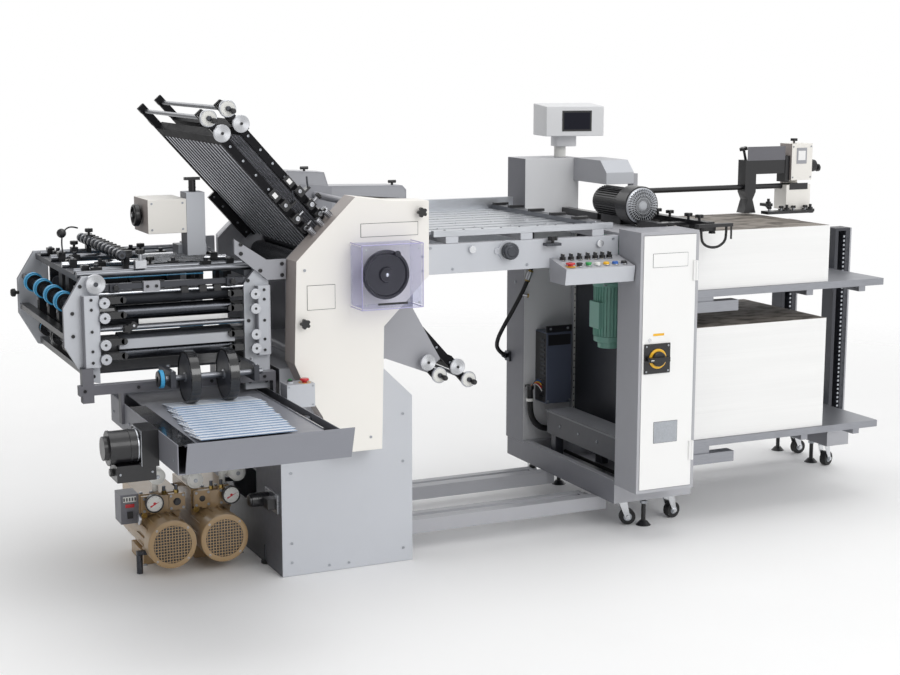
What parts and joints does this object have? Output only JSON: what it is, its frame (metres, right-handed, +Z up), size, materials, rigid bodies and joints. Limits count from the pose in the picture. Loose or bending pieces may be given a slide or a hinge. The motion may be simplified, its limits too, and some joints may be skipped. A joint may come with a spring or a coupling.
{
  "type": "paper folding machine",
  "caption": "Industrial paper folding machine with a pile feeder, register table, sloping buckle fold unit, cross-fold unit and delivery table.",
  "frame": {"origin": "centre of the fold stand's bottom face, on the floor", "axes": "+X from the delivery towards the pile feeder, +Y away from the operator's side, +Z up"},
  "size_m": [2.8418, 1.293, 1.3379],
  "materials": {
    "grey_paint": "satin",
    "cream_paint": "satin",
    "clear_acrylic": "gloss",
    "black_paint": "satin",
    "tan_paint": "satin",
    "green_grey_paint": "satin",
    "bright_steel": "satin",
    "roller_steel": "satin",
    "black_plastic": "matte",
    "red_plastic": "gloss",
    "green_plastic": "gloss",
    "rubber": "matte",
    "board_grey": "satin",
    "paper": "matte"
  },
  "bodies": {
    "machine": {"stand_cabinet": "grey_paint", "fold_side_frames": "bright_steel", "fold_plate_frames": "black_paint", "fold_plate_ribs": "bright_steel", "bright_rods_and_discs": "bright_steel", "side_cover": "cream_paint", "fixed_knobs": "black_plastic", "handwheel_guard": "clear_acrylic", "rear_drive_cover": "grey_paint", "cross_side_plates": "grey_paint", "cross_fittings": "black_paint", "gate_drive_box": "cream_paint", "delivery_table": "grey_paint", "folded_sheets": "paper", "delivery_motor": "black_paint", "control_box": "grey_paint", "pump_bodies": "tan_paint", "pump_fittings": "grey_paint", "table_frames": "grey_paint", "table_slats": "bright_steel", "base_frame": "grey_paint", "casters_and_feet": "rubber", "control_cabinet": "grey_paint", "rear_cabinet": "grey_paint", "lift_motor": "green_grey_paint", "blower_motor": "black_paint", "air_hose": "rubber", "cable_conduit": "rubber", "pile_columns": "bright_steel", "feed_bars": "black_paint"},
    "fold_roller_1": {"fold_roller_1": "roller_steel"},
    "fold_roller_2": {"fold_roller_2": "roller_steel"},
    "fold_roller_3": {"fold_roller_3": "roller_steel"},
    "fold_roller_4": {"fold_roller_4": "roller_steel"},
    "fold_roller_5": {"fold_roller_5": "roller_steel"},
    "fold_roller_6": {"fold_roller_6": "roller_steel"},
    "main_handwheel": {"main_handwheel": "black_plastic"},
    "cross_roller_1": {"cross_roller_1": "roller_steel"},
    "cross_roller_2": {"cross_roller_2": "roller_steel"},
    "cross_roller_3": {"cross_roller_3": "roller_steel"},
    "cross_roller_4": {"cross_roller_4": "roller_steel"},
    "press_shaft": {"press_shaft": "bright_steel"},
    "upper_dial_1": {"upper_dial_1": "black_plastic"},
    "upper_dial_2": {"upper_dial_2": "black_plastic"},
    "lower_dial_1": {"lower_dial_1": "black_plastic"},
    "lower_dial_2": {"lower_dial_2": "black_plastic"},
    "gate_handwheel": {"gate_handwheel": "black_plastic"},
    "table_side_knob": {"table_side_knob": "black_plastic"},
    "delivery_stop_button": {"delivery_stop_button": "red_plastic"},
    "estop_button": {"estop_button": "red_plastic"},
    "stop_button": {"stop_button": "red_plastic"},
    "start_button": {"start_button": "green_plastic"},
    "monitor": {"monitor": "cream_paint"},
    "upper_lift": {"upper_pile_board": "board_grey", "upper_pile": "paper"},
    "lower_lift": {"lower_pile_board": "board_grey", "lower_pile": "paper"},
    "cabinet_door": {"cabinet_door": "cream_paint"},
    "isolator_knob": {"isolator_knob": "black_plastic"},
    "feed_head": {"feed_head": "cream_paint"}
  },
  "joints": [
    {"name": "fold_roller_1_spin", "type": "hinge", "parent": "machine", "child": "fold_roller_1", "pos_m": [-0.04035, 0, 0.85834], "axis": [0, 1, 0], "continuous": true},
    {"name": "fold_roller_2_spin", "type": "hinge", "parent": "machine", "child": "fold_roller_2", "pos_m": [-0.00288, 0, 0.81672], "axis": [0, 1, 0], "continuous": true},
    {"name": "fold_roller_3_spin", "type": "hinge", "parent": "machine", "child": "fold_roller_3", "pos_m": [0.00126, 0, 0.89581], "axis": [0, 1, 0], "continuous": true},
    {"name": "fold_roller_4_spin", "type": "hinge", "parent": "machine", "child": "fold_roller_4", "pos_m": [0.03874, 0, 0.85419], "axis": [0, 1, 0], "continuous": true},
    {"name": "fold_roller_5_spin", "type": "hinge", "parent": "machine", "child": "fold_roller_5", "pos_m": [0.04288, 0, 0.93328], "axis": [0, 1, 0], "continuous": true},
    {"name": "fold_roller_6_spin", "type": "hinge", "parent": "machine", "child": "fold_roller_6", "pos_m": [0.08035, 0, 0.89166], "axis": [0, 1, 0], "continuous": true},
    {"name": "handwheel_spin", "type": "hinge", "parent": "machine", "child": "main_handwheel", "pos_m": [0.065, -0.472, 0.864], "axis": [0, 1, 0], "continuous": true},
    {"name": "cross_roller_1_spin", "type": "hinge", "parent": "machine", "child": "cross_roller_1", "pos_m": [-0.48, -0.272, 0.817], "axis": [1, 0, 0], "continuous": true},
    {"name": "cross_roller_2_spin", "type": "hinge", "parent": "machine", "child": "cross_roller_2", "pos_m": [-0.48, -0.272, 0.777], "axis": [1, 0, 0], "continuous": true},
    {"name": "cross_roller_3_spin", "type": "hinge", "parent": "machine", "child": "cross_roller_3", "pos_m": [-0.48, -0.272, 0.706], "axis": [1, 0, 0], "continuous": true},
    {"name": "cross_roller_4_spin", "type": "hinge", "parent": "machine", "child": "cross_roller_4", "pos_m": [-0.48, -0.272, 0.6675], "axis": [1, 0, 0], "continuous": true},
    {"name": "press_shaft_spin", "type": "hinge", "parent": "machine", "child": "press_shaft", "pos_m": [-0.4, -0.425, 0.618], "axis": [1, 0, 0], "continuous": true},
    {"name": "upper_dial_1_turn", "type": "hinge", "parent": "machine", "child": "upper_dial_1", "pos_m": [-0.39091, -0.35, 1.28952], "axis": [0, 1, 0], "continuous": true},
    {"name": "upper_dial_2_turn", "type": "hinge", "parent": "machine", "child": "upper_dial_2", "pos_m": [-0.33792, -0.35, 1.31436], "axis": [0, 1, 0], "continuous": true},
    {"name": "lower_dial_1_turn", "type": "hinge", "parent": "machine", "child": "lower_dial_1", "pos_m": [0.27822, -0.35, 0.54637], "axis": [0, 1, 0], "continuous": true},
    {"name": "lower_dial_2_turn", "type": "hinge", "parent": "machine", "child": "lower_dial_2", "pos_m": [0.37136, -0.35, 0.52662], "axis": [0, 1, 0], "continuous": true},
    {"name": "gate_handwheel_turn", "type": "hinge", "parent": "machine", "child": "gate_handwheel", "pos_m": [-0.52, -0.075, 1.016], "axis": [1, 0, 0], "continuous": true},
    {"name": "table_side_knob_turn", "type": "hinge", "parent": "machine", "child": "table_side_knob", "pos_m": [0.495, -0.349, 0.897], "axis": [0, 1, 0], "continuous": true},
    {"name": "delivery_stop_press", "type": "slide", "parent": "machine", "child": "delivery_stop_button", "axis": [0, 0, 1], "range_m": [-0.004, 0], "stiffness_N_per_m": 600, "springref_m": 0.002},
    {"name": "estop_press", "type": "slide", "parent": "machine", "child": "estop_button", "axis": [0, 0, 1], "range_m": [-0.003, 0], "stiffness_N_per_m": 600, "springref_m": 0.002},
    {"name": "stop_press", "type": "slide", "parent": "machine", "child": "stop_button", "axis": [0, 0, 1], "range_m": [-0.0025, 0], "stiffness_N_per_m": 600, "springref_m": 0.002},
    {"name": "start_press", "type": "slide", "parent": "machine", "child": "start_button", "axis": [0, 0, 1], "range_m": [-0.0025, 0], "stiffness_N_per_m": 600, "springref_m": 0.002},
    {"name": "monitor_swivel", "type": "hinge", "parent": "machine", "child": "monitor", "pos_m": [1.035, 0.32, 1.119], "axis": [0, 0, 1], "range_deg": [-60, 60]},
    {"name": "upper_pile_lift", "type": "slide", "parent": "machine", "child": "upper_lift", "axis": [0, 0, 1], "range_m": [-0.045, 0]},
    {"name": "lower_pile_lift", "type": "slide", "parent": "machine", "child": "lower_lift", "axis": [0, 0, 1], "range_m": [-0.012, 0]},
    {"name": "cabinet_door_hinge", "type": "hinge", "parent": "machine", "child": "cabinet_door", "pos_m": [1.062, -0.481, 0.55], "axis": [0, 0, 1], "range_deg": [0, 100]},
    {"name": "isolator_turn", "type": "hinge", "parent": "cabinet_door", "child": "isolator_knob", "pos_m": [0.932, -0.487, 0.566], "axis": [0, 1, 0], "range_deg": [0, 90]},
    {"name": "feed_head_slide", "type": "slide", "parent": "machine", "child": "feed_head", "axis": [1, 0, 0], "range_m": [-0.3, 0.05]}
  ],
  "couplings": [
    {"joint": "fold_roller_2_spin", "follows": "fold_roller_1_spin", "ratio": -1},
    {"joint": "fold_roller_3_spin", "follows": "fold_roller_1_spin", "ratio": -1},
    {"joint": "fold_roller_4_spin", "follows": "fold_roller_1_spin", "ratio": 1},
    {"joint": "fold_roller_5_spin", "follows": "fold_roller_1_spin", "ratio": 1},
    {"joint": "fold_roller_6_spin", "follows": "fold_roller_1_spin", "ratio": -1},
    {"joint": "handwheel_spin", "follows": "fold_roller_1_spin", "ratio": 1},
    {"joint": "cross_roller_1_spin", "follows": "fold_roller_1_spin", "ratio": 1.4526},
    {"joint": "cross_roller_2_spin", "follows": "fold_roller_1_spin", "ratio": -1.4526},
    {"joint": "cross_roller_3_spin", "follows": "fold_roller_1_spin", "ratio": 1.4526},
    {"joint": "cross_roller_4_spin", "follows": "fold_roller_1_spin", "ratio": -1.4526},
    {"joint": "press_shaft_spin", "follows": "fold_roller_1_spin", "ratio": 0.5}
  ]
}
